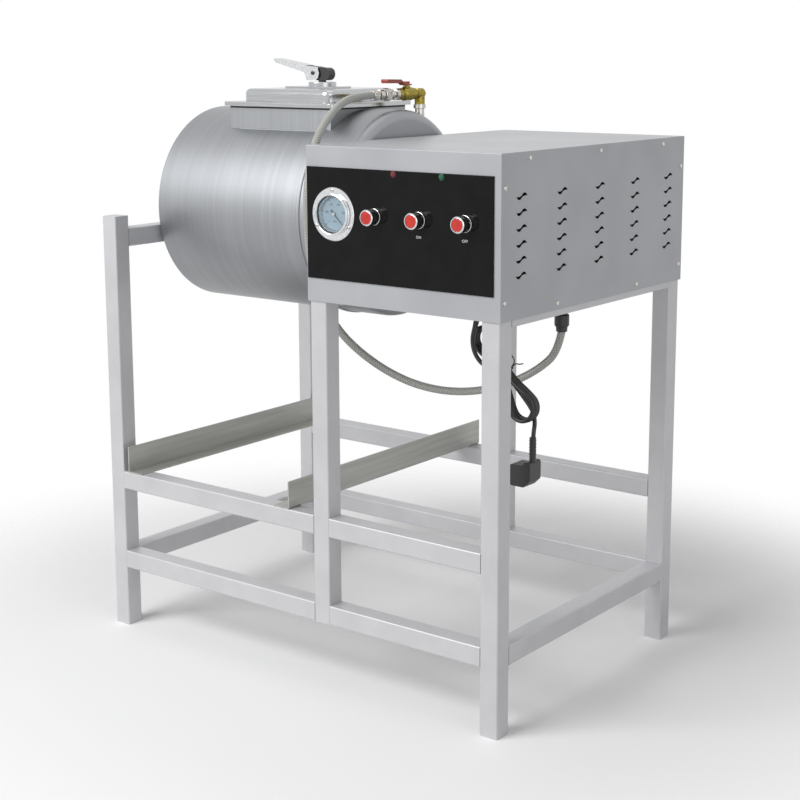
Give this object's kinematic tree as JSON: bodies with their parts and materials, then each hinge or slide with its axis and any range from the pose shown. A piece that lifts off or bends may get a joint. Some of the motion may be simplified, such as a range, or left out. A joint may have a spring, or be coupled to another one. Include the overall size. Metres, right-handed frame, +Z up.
{
  "type": "meat vacuum tumbler",
  "caption": "Horizontal tumbling drum with a lidded feed mouth on a tube stand beside a louvred drive cabinet with a vacuum gauge, push buttons and a suction hose.",
  "frame": {"origin": "on the floor, at the centre of the rectangle of the four legs", "axes": "+X along the drum's axis towards the cabinet, +Y to the rear, +Z up"},
  "size_m": [0.9954, 0.678, 1.199],
  "materials": {
    "frame_paint": "satin silver paint",
    "cabinet_paint": "satin silver paint",
    "slide_steel": "brushed",
    "drum_steel": "brushed round",
    "lid_steel": "polished",
    "shaft_steel": "turned",
    "screw_steel": "bright",
    "cast_grey": "painted cast iron",
    "motor_paint": "enamel",
    "pump_paint": "enamel",
    "seal_rubber": "matt",
    "panel_black": "gloss",
    "chrome": "polished",
    "dial_face": "matt",
    "gauge_glass": "clear",
    "needle_black": "matt",
    "button_red": "gloss",
    "lamp_red": "clear moulding",
    "lamp_green": "clear moulding",
    "clamp_black": "ribbed",
    "brass": "rough cast",
    "grip_red": "dipped",
    "nickel": "plated",
    "hose_pvc": "reinforced, translucent",
    "cord_black": "matt",
    "plug_black": "moulded"
  },
  "bodies": {
    "stand": {"front_left_leg": "frame_paint", "rear_left_leg": "frame_paint", "front_right_leg": "frame_paint", "rear_right_leg": "frame_paint", "front_middle_post": "frame_paint", "rear_middle_post": "frame_paint", "front_lower_rail": "frame_paint", "rear_lower_rail": "frame_paint", "front_mid_rail": "frame_paint", "rear_mid_rail": "frame_paint", "side_lower_rails": "frame_paint", "right_top_rail": "frame_paint", "middle_top_rail": "frame_paint", "bearing_cross_tube": "frame_paint", "cabinet_floor": "cabinet_paint", "cabinet_front": "cabinet_paint", "cabinet_rear": "cabinet_paint", "cabinet_top": "cabinet_paint", "cabinet_left_wall": "cabinet_paint", "louvred_cover": "cabinet_paint", "left_tub_slide": "slide_steel", "right_tub_slide": "slide_steel", "cover_screws": "screw_steel", "bearing_block": "cast_grey", "drive_bearing": "cast_grey", "gear_motor": "motor_paint", "vacuum_pump": "pump_paint", "control_plate": "panel_black", "gauge_case": "chrome", "gauge_dial": "dial_face", "gauge_lens": "gauge_glass", "button_collars": "chrome", "red_lamp": "lamp_red", "green_lamp": "lamp_green", "hose_plug": "nickel", "suction_hose": "hose_pvc", "suction_fitting": "cord_black", "cable_gland": "cord_black", "mains_cord": "cord_black", "cord_hank": "cord_black", "mains_plug": "plug_black"},
    "drum": {"drum_shell": "drum_steel", "drum_ends": "drum_steel", "drum_paddles": "drum_steel", "lid_neck": "drum_steel", "lid_gasket": "seal_rubber", "left_stub_shaft": "shaft_steel", "drive_shaft": "shaft_steel", "valve_standpipe": "nickel", "valve_body": "brass", "coupler_socket": "nickel"},
    "lid": {"lid_cover": "lid_steel", "clamp_head": "clamp_black"},
    "clamp_lever": {"clamp_lever": "lid_steel"},
    "valve_lever": {"valve_lever": "grip_red"},
    "coupler_sleeve": {"coupler_sleeve": "nickel"},
    "vacuum_button": {"vacuum_button": "button_red"},
    "start_button": {"start_button": "button_red"},
    "stop_button": {"stop_button": "button_red"},
    "gauge_needle": {"gauge_needle": "needle_black"}
  },
  "joints": [
    {"name": "drum_spin", "type": "hinge", "parent": "stand", "child": "drum", "pos_m": [-0.2, 0, 0.89], "axis": [1, 0, 0], "continuous": true, "deforming": ["suction_hose", "hose_plug"]},
    {"name": "lid_lift", "type": "slide", "parent": "drum", "child": "lid", "axis": [-0.6, 0, 0.8], "range_m": [0, 0.15]},
    {"name": "clamp_turn", "type": "hinge", "parent": "lid", "child": "clamp_lever", "pos_m": [-0.182, 0, 1.169], "axis": [0, 1, 0], "range_deg": [0, 90]},
    {"name": "valve_turn", "type": "hinge", "parent": "drum", "child": "valve_lever", "pos_m": [0.02, 0.041, 1.128], "axis": [0, 0, -1], "range_deg": [0, 90]},
    {"name": "sleeve_pull", "type": "slide", "parent": "drum", "child": "coupler_sleeve", "axis": [0, 1, 0], "range_m": [0, 0.005], "stiffness_N_per_m": 900, "springref_m": -0.002},
    {"name": "vacuum_press", "type": "slide", "parent": "stand", "child": "vacuum_button", "axis": [0, 1, 0], "range_m": [0, 0.004], "stiffness_N_per_m": 600, "springref_m": -0.001},
    {"name": "start_press", "type": "slide", "parent": "stand", "child": "start_button", "axis": [0, 1, 0], "range_m": [0, 0.004], "stiffness_N_per_m": 600, "springref_m": -0.001},
    {"name": "stop_press", "type": "slide", "parent": "stand", "child": "stop_button", "axis": [0, 1, 0], "range_m": [0, 0.004], "stiffness_N_per_m": 600, "springref_m": -0.001},
    {"name": "gauge_swing", "type": "hinge", "parent": "stand", "child": "gauge_needle", "pos_m": [0.134, -0.3286, 0.922], "axis": [0, -1, 0], "range_deg": [0, 270]}
  ]
}
